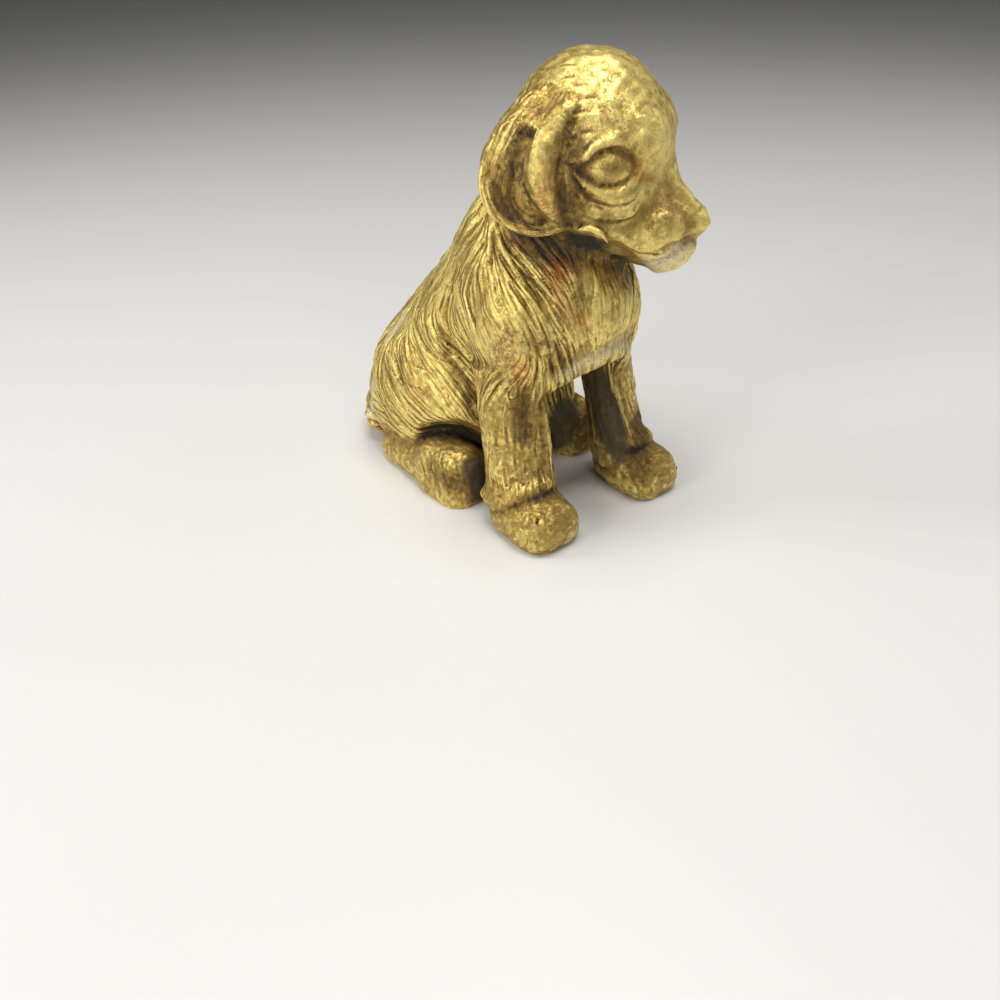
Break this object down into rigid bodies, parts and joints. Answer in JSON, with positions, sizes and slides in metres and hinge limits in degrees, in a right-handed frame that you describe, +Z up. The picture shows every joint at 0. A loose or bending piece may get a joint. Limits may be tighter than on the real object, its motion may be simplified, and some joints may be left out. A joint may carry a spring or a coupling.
{
  "type": "dog figurine",
  "caption": "Seated puppy figurine in cast brass, upright on straight forelegs, its head turned to one side, with hanging ears and a tail curled round the rump.",
  "frame": {"origin": "middle of the figurine's box, on the surface that it stands on", "axes": "+Z up, the chest and forelegs towards -Y, the dog's own left side towards +X; the head is turned to its left"},
  "size_m": [0.0796, 0.1378, 0.1517],
  "materials": {
    "brass": "cast and chased, with dark patina in the grooves and worn highlights",
    "worn_brass": "cast, rubbed bright on the high points, with fine dark pits",
    "dark_brass": "cast, with brown patina"
  },
  "bodies": {
    "root": {"torso_left_shell": "brass", "torso_right_shell": "brass", "head_shell": "brass", "ear_left": "worn_brass", "ear_right": "worn_brass", "foreleg_left": "worn_brass", "foreleg_right": "worn_brass", "hind_foot_left": "dark_brass", "hind_foot_right": "dark_brass", "tail": "dark_brass"}
  },
  "joints": []
}
